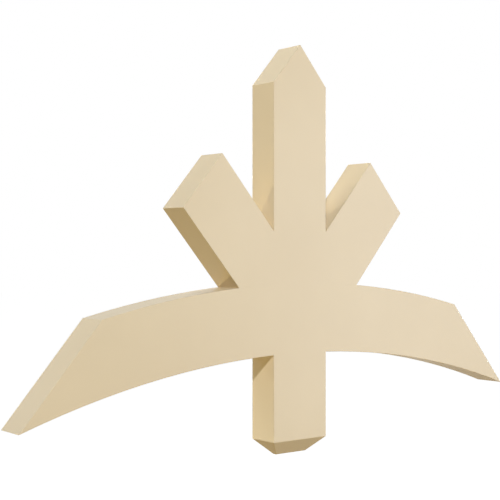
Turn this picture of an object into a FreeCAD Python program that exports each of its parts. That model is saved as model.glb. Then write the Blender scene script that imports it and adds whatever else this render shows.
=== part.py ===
"""Decorative gable truss: a king post, an arched tie beam and two struts, flush front and back.

Millimetres. +X runs along the span and +Z is up. The front faces -Y, and the back lies on the wall plane,
Y = 0. The origin is on the king post's centreline, on the wall plane, level with the two tips of the arch.
"""

import FreeCAD
import Part
import math
import os

from FreeCAD import Vector

# Roof line that every outer end is sawn to
SPAN = 1828.8           # between the two tips of the arch
PITCH_RISE = 14.0       # the roof climbs this much
PITCH_RUN = 12.0        # over this much run

# Members
MEMBER_DEPTH = 101.6    # front to back, the same for all four members
POST_FACE = 203.2       # width of the king post
STRUT_FACE = 203.2      # width of a strut, square to its length
ARCH_FACE = 206.4       # height of the arched beam, measured plumb
ARCH_RISE = 152.4       # crown of the arch's underside above its tips
POST_DROP = 301.6       # king post below the crown's underside
FOOT_FLAT = 12.7        # depth of the flat left between the chamfers of the post's foot

# Dowels that pin each strut to the post and to the arch
DOWEL_DIAMETER = 19.0
DOWEL_LENGTH = 100.0
DOWEL_CHAMFER = 1.5
DOWEL_CLEARANCE = 0.1   # glue film round a dowel
DOWEL_END_GAP = 1.5     # room for glue past each end

# Wood screws that clamp the half lap from the back
SCREW_DIAMETER = 6.0
SCREW_HEAD_DIAMETER = 12.0
SCREW_POINT = 8.0       # length of the tapered point
SCREW_COVER = 22.0      # material left in front of the point
SCREW_CLEARANCE = 0.15  # round the screw
DRIVE_WIDTH = 3.4       # square drive recess
DRIVE_DEPTH = 3.0

# Places worked out from the sizes above
SLOPE = PITCH_RISE / PITCH_RUN
PITCH_ANGLE = math.atan(SLOPE)
HALF_SPAN = SPAN / 2
HALF_POST = POST_FACE / 2
PEAK = HALF_SPAN * SLOPE
FRONT = -MEMBER_DEPTH
LAP_PLANE = FRONT / 2
FOOT = ARCH_RISE - POST_DROP
FOOT_CHAMFER = (MEMBER_DEPTH - FOOT_FLAT) / 2
ARCH_CROWN = ARCH_RISE + ARCH_FACE
ARCH_RADIUS = (HALF_SPAN**2 + ARCH_RISE**2) / (2 * ARCH_RISE)
SAME_LEVEL = 1e-6       # points this close in height are level


def prism(outline, front=FRONT, back=0.0):
    """Solid between two depths from a closed list of edges drawn on the wall plane."""
    face = Part.Face(Part.Wire(outline))
    face.translate(Vector(0, front, 0))
    return face.extrude(Vector(0, back - front, 0))


def polygon(points):
    """Closed list of straight edges through (x, z) points."""
    corners = [Vector(x, 0, z) for x, z in points]
    return [Part.LineSegment(a, b).toShape() for a, b in zip(corners, corners[1:] + corners[:1])]


def arch_height(crown, x):
    """Height at x of the arc that peaks at the given crown."""
    return crown - ARCH_RADIUS + math.sqrt(ARCH_RADIUS**2 - x**2)


def arch_arc(crown, reach):
    """Arc of the arch's radius from -reach to +reach."""
    end = arch_height(crown, reach)
    return Part.Arc(Vector(-reach, 0, end), Vector(0, 0, crown), Vector(reach, 0, end)).toShape()


def roof_envelope():
    """Everything under the two roof lines, down to the post's foot."""
    eave = HALF_SPAN + (-FOOT) / SLOPE
    return prism(polygon([(-eave, FOOT), (eave, FOOT), (0, PEAK)]))


def arch_band(front=FRONT, back=0.0):
    """The arched beam before its ends are sawn: one arc repeated plumb above itself."""
    low_end = arch_height(ARCH_RISE, HALF_SPAN)
    high_end = arch_height(ARCH_CROWN, HALF_SPAN)
    ends = [
        Part.LineSegment(Vector(side, 0, low_end), Vector(side, 0, high_end)).toShape()
        for side in (-HALF_SPAN, HALF_SPAN)
    ]
    lower, upper = arch_arc(ARCH_RISE, HALF_SPAN), arch_arc(ARCH_CROWN, HALF_SPAN)
    return prism([lower, ends[1], upper, ends[0]], front, back)


def post_block(front=FRONT, back=0.0):
    """The king post as a plain length of stock between two depths."""
    left, right = -HALF_POST, HALF_POST
    return prism(polygon([(left, FOOT), (right, FOOT), (right, PEAK), (left, PEAK)]), front, back)


def mirrored(shape):
    """The same shape on the other side of the king post."""
    return shape.mirror(Vector(0, 0, 0), Vector(1, 0, 0))


# The right strut starts in the corner between the post and the arch and leans out at the roof's own pitch
CORNER = Vector(HALF_POST, 0, arch_height(ARCH_CROWN, HALF_POST))
ALONG = Vector(math.cos(PITCH_ANGLE), 0, math.sin(PITCH_ANGLE))
ACROSS = Vector(-math.sin(PITCH_ANGLE), 0, math.cos(PITCH_ANGLE))
STRUT_END_X = (HALF_SPAN + HALF_POST - CORNER.z / SLOPE) / 2
STRUT_REACH = (STRUT_END_X - HALF_POST) / math.cos(PITCH_ANGLE) + STRUT_FACE


def strut_stock():
    """The right strut's stock, square at both ends, from the corner to past the roof line."""
    half = ACROSS * (STRUT_FACE / 2)
    far = CORNER + ALONG * STRUT_REACH
    return prism(polygon([(p.x, p.z) for p in (CORNER - half, far - half, far + half, CORNER + half)]))


def post_dowel_seat():
    """Where the upper dowel line of the right strut meets the side of the post."""
    return CORNER + Vector(0, 0, STRUT_FACE / 4 / math.cos(PITCH_ANGLE))


def arch_dowel_seat():
    """Where the lower dowel line of the right strut meets the top of the arch."""
    start = CORNER - ACROSS * (STRUT_FACE / 4)
    centre = Vector(0, 0, ARCH_CROWN - ARCH_RADIUS)
    toward = (start - centre).dot(ALONG)
    inside = ARCH_RADIUS**2 - (start - centre).Length**2
    return start + ALONG * (math.sqrt(toward**2 + inside) - toward)


def pin(radius, length):
    """Upright cylinder centred on the origin."""
    return Part.makeCylinder(radius, length, Vector(0, 0, -length / 2))


def dowel():
    """One dowel, standing upright on the origin, with chamfered ends."""
    body = pin(DOWEL_DIAMETER / 2, DOWEL_LENGTH)
    rims = [edge for edge in body.Edges if isinstance(edge.Curve, Part.Circle)]
    return body.makeChamfer(DOWEL_CHAMFER, rims)


def dowel_bore():
    """Its bore, a glue film wider and a little longer."""
    return pin(DOWEL_DIAMETER / 2 + DOWEL_CLEARANCE, DOWEL_LENGTH + 2 * DOWEL_END_GAP)


def at_strut_feet(shape, seat):
    """Copies of an upright shape, laid along the struts at the quarters of their depth, on both sides."""
    lean = FreeCAD.Rotation(Vector(0, 0, 1), ALONG)
    copies = []
    for depth in (FRONT / 4, FRONT * 3 / 4):
        copy = shape.copy()
        copy.Placement = FreeCAD.Placement(seat + Vector(0, depth, 0), lean)
        copies += [copy, mirrored(copy)]
    return copies


def screw_form(clearance=0.0):
    """A countersunk screw on the origin, head flush with Y = 0 and point towards the front."""
    head = SCREW_HEAD_DIAMETER / 2 + clearance
    shank = SCREW_DIAMETER / 2 + clearance
    neck = head - shank
    tip = -FRONT - SCREW_COVER + clearance
    profile = [(0, 0), (head, 0), (shank, -neck), (shank, -tip + SCREW_POINT), (0, -tip)]
    corners = [Vector(x, y, 0) for x, y in profile]
    edges = [Part.LineSegment(a, b).toShape() for a, b in zip(corners, corners[1:] + corners[:1])]
    return Part.Face(Part.Wire(edges)).revolve(Vector(0, 0, 0), Vector(0, 1, 0), 360)


def screw():
    """The screw with its square drive recess."""
    corner = Vector(-DRIVE_WIDTH / 2, -DRIVE_DEPTH, -DRIVE_WIDTH / 2)
    return screw_form().cut(Part.makeBox(DRIVE_WIDTH, DRIVE_DEPTH, DRIVE_WIDTH, corner))


def at_lap(shape):
    """Copies of a shape at the quarter points of the lap, where the post and the arch cross."""
    middle = ARCH_RISE + ARCH_FACE / 2
    copies = []
    for x in (-POST_FACE / 4, POST_FACE / 4):
        for z in (middle - ARCH_FACE / 4, middle + ARCH_FACE / 4):
            copy = shape.copy()
            copy.translate(Vector(x, 0, z))
            copies.append(copy)
    return copies


def king_post():
    """Post with a peaked head and a chamfered foot, halved at the back for the arch."""
    post = post_block()
    foot_edges = [edge for edge in post.Edges if edge.BoundBox.ZMax < FOOT + SAME_LEVEL]
    post = post.makeChamfer(FOOT_CHAMFER, foot_edges).common(roof_envelope())
    holes = at_strut_feet(dowel_bore(), post_dowel_seat()) + at_lap(screw_form(SCREW_CLEARANCE))
    return post.cut([arch_band(front=LAP_PLANE)] + holes)


def arched_tie_beam():
    """Arch with both ends sawn to the roof, halved at the front for the post."""
    arch = arch_band().common(roof_envelope())
    holes = at_strut_feet(dowel_bore(), arch_dowel_seat()) + at_lap(screw_form(SCREW_CLEARANCE))
    return arch.cut([post_block(back=LAP_PLANE)] + holes)


def right_strut():
    """Strut sawn to the roof above and coped to the post and the arch at its foot."""
    strut = strut_stock().common(roof_envelope())
    holes = at_strut_feet(dowel_bore(), post_dowel_seat()) + at_strut_feet(dowel_bore(), arch_dowel_seat())
    return strut.cut([post_block(), arch_band()] + holes)


def main():
    strut = right_strut()
    nodes = {
        "king_post": king_post(),
        "arched_tie_beam": arched_tie_beam(),
        "right_strut": strut,
        "left_strut": mirrored(strut),
        "post_dowels": Part.makeCompound(at_strut_feet(dowel(), post_dowel_seat())),
        "arch_dowels": Part.makeCompound(at_strut_feet(dowel(), arch_dowel_seat())),
        "lap_screws": Part.makeCompound(at_lap(screw())),
    }
    os.makedirs("parts", exist_ok=True)
    for name, shape in nodes.items():
        shape.exportStep(os.path.join("parts", name + ".step"))


main()
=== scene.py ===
"""Looks of the decorative gable truss: eased edges, a primed finish and plain studio light.

Metres, in the frame of the solids: +X along the span, +Z up, front towards -Y, back on the plane Y = 0.
"""

import math

import bmesh
import bpy
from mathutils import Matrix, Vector
from mathutils.bvhtree import BVHTree


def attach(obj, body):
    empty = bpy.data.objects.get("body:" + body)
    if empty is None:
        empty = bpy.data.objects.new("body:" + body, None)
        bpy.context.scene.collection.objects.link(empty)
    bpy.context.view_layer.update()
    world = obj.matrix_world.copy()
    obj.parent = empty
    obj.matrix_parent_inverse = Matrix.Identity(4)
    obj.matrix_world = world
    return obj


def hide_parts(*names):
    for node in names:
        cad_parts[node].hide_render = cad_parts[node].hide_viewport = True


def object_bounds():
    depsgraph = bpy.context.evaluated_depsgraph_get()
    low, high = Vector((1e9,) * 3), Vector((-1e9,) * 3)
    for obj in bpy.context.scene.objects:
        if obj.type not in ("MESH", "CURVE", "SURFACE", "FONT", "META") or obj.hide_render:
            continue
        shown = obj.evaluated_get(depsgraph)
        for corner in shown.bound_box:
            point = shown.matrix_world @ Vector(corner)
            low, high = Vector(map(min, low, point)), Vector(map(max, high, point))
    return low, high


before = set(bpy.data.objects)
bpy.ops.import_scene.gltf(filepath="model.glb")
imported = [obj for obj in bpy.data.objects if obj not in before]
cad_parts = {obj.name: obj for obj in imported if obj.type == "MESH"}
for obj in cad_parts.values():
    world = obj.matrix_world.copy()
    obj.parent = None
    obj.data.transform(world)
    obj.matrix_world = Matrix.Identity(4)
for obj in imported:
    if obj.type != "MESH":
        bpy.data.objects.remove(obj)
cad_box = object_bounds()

# Pieces, and the finish of each
MEMBERS = ("king_post", "arched_tie_beam", "left_strut", "right_strut")
MEMBER_FINISH = "tan_primer"
FIXINGS = {"post_dowels": "dowel_wood", "arch_dowels": "dowel_wood", "lap_screws": "zinc_steel"}

# Eased edges of the members
EASED_EDGE = 0.0012             # width of the rounding on edges that a hand can reach
EASE_STEPS = 3                  # flats in that rounding
BACK_SEAM = 0.5                 # seams on the unfilled back are eased by this share of it
SAME_POINT = 1e-6               # points this close are one point
FLAT = math.radians(0.03)       # faces that meet at less are one flat face
CREASE = math.radians(25)       # faces that meet at more form a sharp edge
TOUCHING = 0.0005               # an edge this close to another member is a seam
HOLE_EDGE = 0.003               # an edge this close to a dowel or screw belongs to its hole

# Finishes. Each of their properties follows a noise, given by its features per metre, detail and roughness.
# Colour and roughness run between two values. Relief has a height and the strength that it shows with.
NOISE_RANGE = (0.3, 0.7)        # most of a noise lies between these
WOOD_FIBRE = (260.0, 4.0, 0.6)
ZINC_CLOUD = (350.0, 3.0, 0.55)
FINISHES = {
    # sprayed: broad cloudiness, fine orange peel and an uneven sheen
    "tan_primer": {
        "colour": ((3.0, 3.0, 0.55), (0.720, 0.592, 0.373), (0.750, 0.622, 0.397)),
        "roughness": ((1500.0, 2.0, 0.6), 0.34, 0.42),
        "relief": ((420.0, 2.0, 0.5), 0.0001, 0.25),
        "even": {"Specular IOR Level": 0.30},
    },
    # bare hardwood
    "dowel_wood": {
        "colour": (WOOD_FIBRE, (0.50, 0.33, 0.17), (0.70, 0.51, 0.31)),
        "roughness": (WOOD_FIBRE, 0.55, 0.75),
        "relief": (WOOD_FIBRE, 0.0002, 0.4),
        "even": {},
    },
    # plating, slightly clouded and finely scratched
    "zinc_steel": {
        "colour": (ZINC_CLOUD, (0.50, 0.49, 0.46), (0.68, 0.67, 0.64)),
        "roughness": (ZINC_CLOUD, 0.28, 0.48),
        "relief": ((2600.0, 2.0, 0.5), 0.00003, 0.3),
        "even": {"Metallic": 1.0},
    },
}

# Camera: level, left of the truss and turned towards it
LENS = 81.1                     # millimetres, on the sensor width below
SENSOR = 36.0
CAMERA_PLACE = (-2.178, -2.640, 0.4576)
CAMERA_TURN = math.radians(38.07)

# Floor, far enough below for its shadow to fall outside the front view
FLOOR_DROP = 2.20               # below the foot of the post
FLOOR_HALF = 60.0               # half the length of a side
FLOOR_SEEN = (0.80, 0.79, 0.77)
FLOOR_BOUNCE = (0.54, 0.37, 0.055)  # its colour for the light that it throws up on the truss
FLOOR_MOTTLE = (1.5, 2.0, 0.5)  # noise, as in the finishes
FLOOR_MOTTLED = 0.97            # share of its colour where the mottle is darkest
FLOOR_GLOW = 0.30               # what the floor near the truss gives off towards the camera
GLOW_NEAR = 4.0                 # the floor is as above up to here, measured from below the truss
GLOW_FAR = 9.0                  # and plain white from here on

# Light. A lamp of level 1 alone would show a surface that faces it in that surface's own colour.
AIM = Vector((0.0, -0.05, 0.45))    # what all lamps point at
WHITE = (1.0, 1.0, 1.0)
DAYLIGHT = (0.87, 0.90, 1.0)
WARM = (1.0, 0.86, 0.55)
LAMPS = {
    # name: direction from the truss, distance, width and height, degrees of spread, level, tint
    "left_front": ((-0.92, -1.00, 0.735), 10.0, (0.45, 0.45), 180, 0.735, DAYLIGHT),
    "left_back": ((-0.74, 1.00, 0.725), 10.0, (0.45, 0.45), 180, 0.13, WHITE),
    "left_low": ((-0.78, 1.00, -0.47), 6.5, (0.30, 0.30), 80, 0.29, WARM),
    "right_front": ((1.00, -0.985, 0.016), 10.0, (4.00, 6.00), 180, 0.575, DAYLIGHT),
    "right": ((1.00, 0.10, 0.12), 10.0, (0.60, 0.60), 80, 0.30, WHITE),
    "back": ((0.40, 1.00, 0.08), 10.0, (0.60, 0.60), 80, 0.37, WHITE),
    "top": ((-0.35, 0.30, 1.00), 3.4, (1.20, 1.20), 180, 0.27, WHITE),
}


def add(thing):
    """Puts an object into the scene."""
    bpy.context.scene.collection.objects.link(thing)
    return thing


def noise(tree, fineness, detail, roughness):
    """Noise with features about 1 / fineness metres across."""
    where = tree.nodes.new("ShaderNodeTexCoord")
    node = tree.nodes.new("ShaderNodeTexNoise")
    node.inputs["Scale"].default_value = fineness
    node.inputs["Detail"].default_value = detail
    node.inputs["Roughness"].default_value = roughness
    tree.links.new(where.outputs["Object"], node.inputs["Vector"])
    return node.outputs["Fac"]


def mapped(tree, value, low, high, source=NOISE_RANGE):
    """A value mapped from a source range to the range low..high."""
    node = tree.nodes.new("ShaderNodeMapRange")
    node.inputs["From Min"].default_value = source[0]
    node.inputs["From Max"].default_value = source[1]
    node.inputs["To Min"].default_value = low
    node.inputs["To Max"].default_value = high
    tree.links.new(value, node.inputs["Value"])
    return node.outputs["Result"]


def between(tree, value, first, second):
    """A colour that runs from the first to the second as a noise rises."""
    node = tree.nodes.new("ShaderNodeMix")
    node.data_type = "RGBA"
    node.inputs["A"].default_value = (*first, 1.0)
    node.inputs["B"].default_value = (*second, 1.0)
    tree.links.new(mapped(tree, value, 0.0, 1.0), node.inputs["Factor"])
    return node.outputs["Result"]


def relief(tree, value, height, strength):
    """Normals roughened by a noise."""
    node = tree.nodes.new("ShaderNodeBump")
    node.inputs["Distance"].default_value = height
    node.inputs["Strength"].default_value = strength
    tree.links.new(value, node.inputs["Height"])
    return node.outputs["Normal"]


def finish(name):
    """A finish from the list above, as a material."""
    material = bpy.data.materials.new(name)
    material.use_nodes = True
    tree = material.node_tree
    shader = tree.nodes["Principled BSDF"]
    makers = {
        "Base Color": (between, FINISHES[name]["colour"]),
        "Roughness": (mapped, FINISHES[name]["roughness"]),
        "Normal": (relief, FINISHES[name]["relief"]),
    }
    for socket, (make, (grain, *values)) in makers.items():
        tree.links.new(make(tree, noise(tree, *grain), *values), shader.inputs[socket])
    for socket, value in FINISHES[name]["even"].items():
        shader.inputs[socket].default_value = value
    return material


def solid_mesh(name):
    """A solid as a mesh with one face for each flat."""
    mesh = bmesh.new()
    mesh.from_mesh(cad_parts[name].data)
    bmesh.ops.remove_doubles(mesh, verts=mesh.verts, dist=SAME_POINT)
    bmesh.ops.dissolve_limit(mesh, angle_limit=FLAT, verts=mesh.verts, edges=mesh.edges)
    return mesh


def sharp_edges(mesh):
    """Edges where two faces meet in a crease."""
    return [e for e in mesh.edges if e.is_manifold and e.calc_face_angle() > CREASE]


def corner_points(mesh):
    """Points where more than two sharp edges meet."""
    sharp = set(sharp_edges(mesh))
    return [v.co.copy() for v in mesh.verts if sum(e in sharp for e in v.link_edges) > 2]


def split_at(mesh, points):
    """Sharp edges get a vertex wherever a point lies on them."""
    for point in points:
        for edge in sharp_edges(mesh):
            start, end = (v.co for v in edge.verts)
            along = end - start
            share = (point - start).dot(along) / along.length_squared
            margin = TOUCHING / along.length
            if margin < share < 1 - margin and (start + share * along - point).length < TOUCHING:
                bmesh.utils.edge_split(edge, edge.verts[0], share)
                break


def near(point, trees, reach):
    """Whether any of the search trees has a face within reach of a point."""
    return any(tree.find_nearest(point, reach)[0] is not None for tree in trees)


def rounding_share(edge, members, fixings):
    """How much of the full rounding a sharp edge gets, given search trees of what may lie along it."""
    middle = (edge.verts[0].co + edge.verts[1].co) / 2
    if near(middle, fixings, HOLE_EDGE):
        return 0.0
    if not near(middle, members, TOUCHING):
        return 1.0
    on_back = all(v.co.y > -SAME_POINT for v in edge.verts)
    return BACK_SEAM if on_back else 0.0


def eased_member(name, meshes, fixings):
    """A member with its free edges rounded, and left crisp where it runs on into another member."""
    mesh = meshes[name]
    others = [meshes[other] for other in MEMBERS if other != name]
    for other in others:
        split_at(mesh, corner_points(other))
    around = [BVHTree.FromBMesh(other) for other in others]
    weight = mesh.edges.layers.float.new("bevel_weight_edge")
    for edge in sharp_edges(mesh):
        edge[weight] = rounding_share(edge, around, fixings)
    shown = bpy.data.meshes.new(name + "_eased")
    mesh.to_mesh(shown)
    shown.shade_smooth()
    shown.set_sharp_from_angle(angle=CREASE)
    piece = add(bpy.data.objects.new(name + "_eased", shown))
    rounding = piece.modifiers.new("eased edges", "BEVEL")
    rounding.limit_method = "WEIGHT"
    rounding.width = EASED_EDGE
    rounding.segments = EASE_STEPS
    rounding.use_clamp_overlap = False
    shading = piece.modifiers.new("flat faces stay flat", "WEIGHTED_NORMAL")
    shading.keep_sharp = True
    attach(piece, "root")
    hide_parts(name)
    return piece


def show_members():
    """The members, as eased copies in place of their solids."""
    meshes = {name: solid_mesh(name) for name in (*MEMBERS, *FIXINGS)}
    fixings = [BVHTree.FromBMesh(meshes[name]) for name in FIXINGS]
    material = finish(MEMBER_FINISH)
    for name in MEMBERS:
        piece = eased_member(name, meshes, fixings)
        piece.data.materials.append(material)
    for mesh in meshes.values():
        mesh.free()


def show_fixings():
    """The dowels and screws, which are the solids themselves."""
    materials = {name: finish(name) for name in sorted(set(FIXINGS.values()))}
    for name, material in FIXINGS.items():
        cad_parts[name].material_slots[0].material = materials[material]


def background_share(tree):
    """1 for rays that show the background itself: straight, mirrored or through glass."""
    path = tree.nodes.new("ShaderNodeLightPath")
    total = path.outputs["Is Camera Ray"]
    for ray in ("Is Glossy Ray", "Is Transmission Ray"):
        node = tree.nodes.new("ShaderNodeMath")
        node.operation = "MAXIMUM"
        tree.links.new(total, node.inputs[0])
        tree.links.new(path.outputs[ray], node.inputs[1])
        total = node.outputs["Value"]
    return total


def make_world():
    """White to look at, and no light of its own on the truss."""
    world = bpy.data.worlds.new("studio")
    bpy.context.scene.world = world
    world.use_nodes = True
    tree = world.node_tree
    white = tree.nodes["Background"]
    white.inputs["Color"].default_value = (*WHITE, 1.0)
    tree.links.new(background_share(tree), white.inputs["Strength"])


def matt(tree, colour):
    """A matt shader, slightly mottled."""
    node = tree.nodes.new("ShaderNodeBsdfDiffuse")
    darkest = [FLOOR_MOTTLED * c for c in colour]
    tree.links.new(between(tree, noise(tree, *FLOOR_MOTTLE), colour, darkest), node.inputs["Color"])
    return node.outputs["BSDF"]


def floor_glow(tree):
    """What the floor gives off: a little near the truss, and plain white far off."""
    where = tree.nodes.new("ShaderNodeTexCoord")
    reach = tree.nodes.new("ShaderNodeVectorMath")
    reach.operation = "LENGTH"
    tree.links.new(where.outputs["Object"], reach.inputs[0])
    strength = mapped(tree, reach.outputs["Value"], FLOOR_GLOW, 1.0, (GLOW_NEAR, GLOW_FAR))
    node = tree.nodes.new("ShaderNodeEmission")
    tree.links.new(strength, node.inputs["Strength"])
    return node.outputs["Emission"]


def floor_finish():
    """Pale and matt. It glows only towards the camera, and throws up a warmer light than it shows."""
    material = bpy.data.materials.new("pale_floor")
    material.use_nodes = True
    tree = material.node_tree
    tree.nodes.remove(tree.nodes["Principled BSDF"])
    seen = tree.nodes.new("ShaderNodeAddShader")
    tree.links.new(matt(tree, FLOOR_SEEN), seen.inputs[0])
    tree.links.new(floor_glow(tree), seen.inputs[1])
    choice = tree.nodes.new("ShaderNodeMixShader")
    tree.links.new(background_share(tree), choice.inputs["Fac"])
    tree.links.new(matt(tree, FLOOR_BOUNCE), choice.inputs[1])
    tree.links.new(seen.outputs["Shader"], choice.inputs[2])
    tree.links.new(choice.outputs["Shader"], tree.nodes["Material Output"].inputs["Surface"])
    return material


def make_floor():
    """A wide square floor, which is no part of the object."""
    corners = [(x * FLOOR_HALF, y * FLOOR_HALF, 0) for x, y in ((-1, -1), (1, -1), (1, 1), (-1, 1))]
    mesh = bpy.data.meshes.new("floor")
    mesh.from_pydata(corners, [], [(0, 1, 2, 3)])
    mesh.materials.append(floor_finish())
    floor = add(bpy.data.objects.new("floor", mesh))
    floor.location.z = cad_box[0].z - FLOOR_DROP


def make_lamps():
    """Lamps that face the truss. A narrow spread gathers a lamp's light, so its power goes down to match."""
    for name, (direction, distance, size, degrees, level, tint) in LAMPS.items():
        away = Vector(direction).normalized() * distance
        lamp = bpy.data.lights.new(name, "AREA")
        lamp.shape = "ELLIPSE"
        lamp.size, lamp.size_y = size
        lamp.spread = math.radians(degrees)
        half = lamp.spread / 2
        lamp.energy = level * (math.pi * distance) ** 2 * (1 - half / math.tan(half))
        lamp.color = tint
        stand = add(bpy.data.objects.new(name, lamp))
        stand.location = AIM + away
        stand.rotation_euler = away.to_track_quat("Z", "Y").to_euler()


def make_camera():
    """The camera that took the photo, as fitted to its corners."""
    camera = bpy.data.cameras.new("camera")
    camera.lens = LENS
    camera.sensor_width = SENSOR
    stand = add(bpy.data.objects.new("camera", camera))
    stand.location = CAMERA_PLACE
    stand.rotation_euler = (math.pi / 2, 0, -CAMERA_TURN)
    bpy.context.scene.camera = stand


show_members()
show_fixings()
make_world()
make_floor()
make_lamps()
make_camera()
bpy.context.scene.view_settings.view_transform = "Standard"
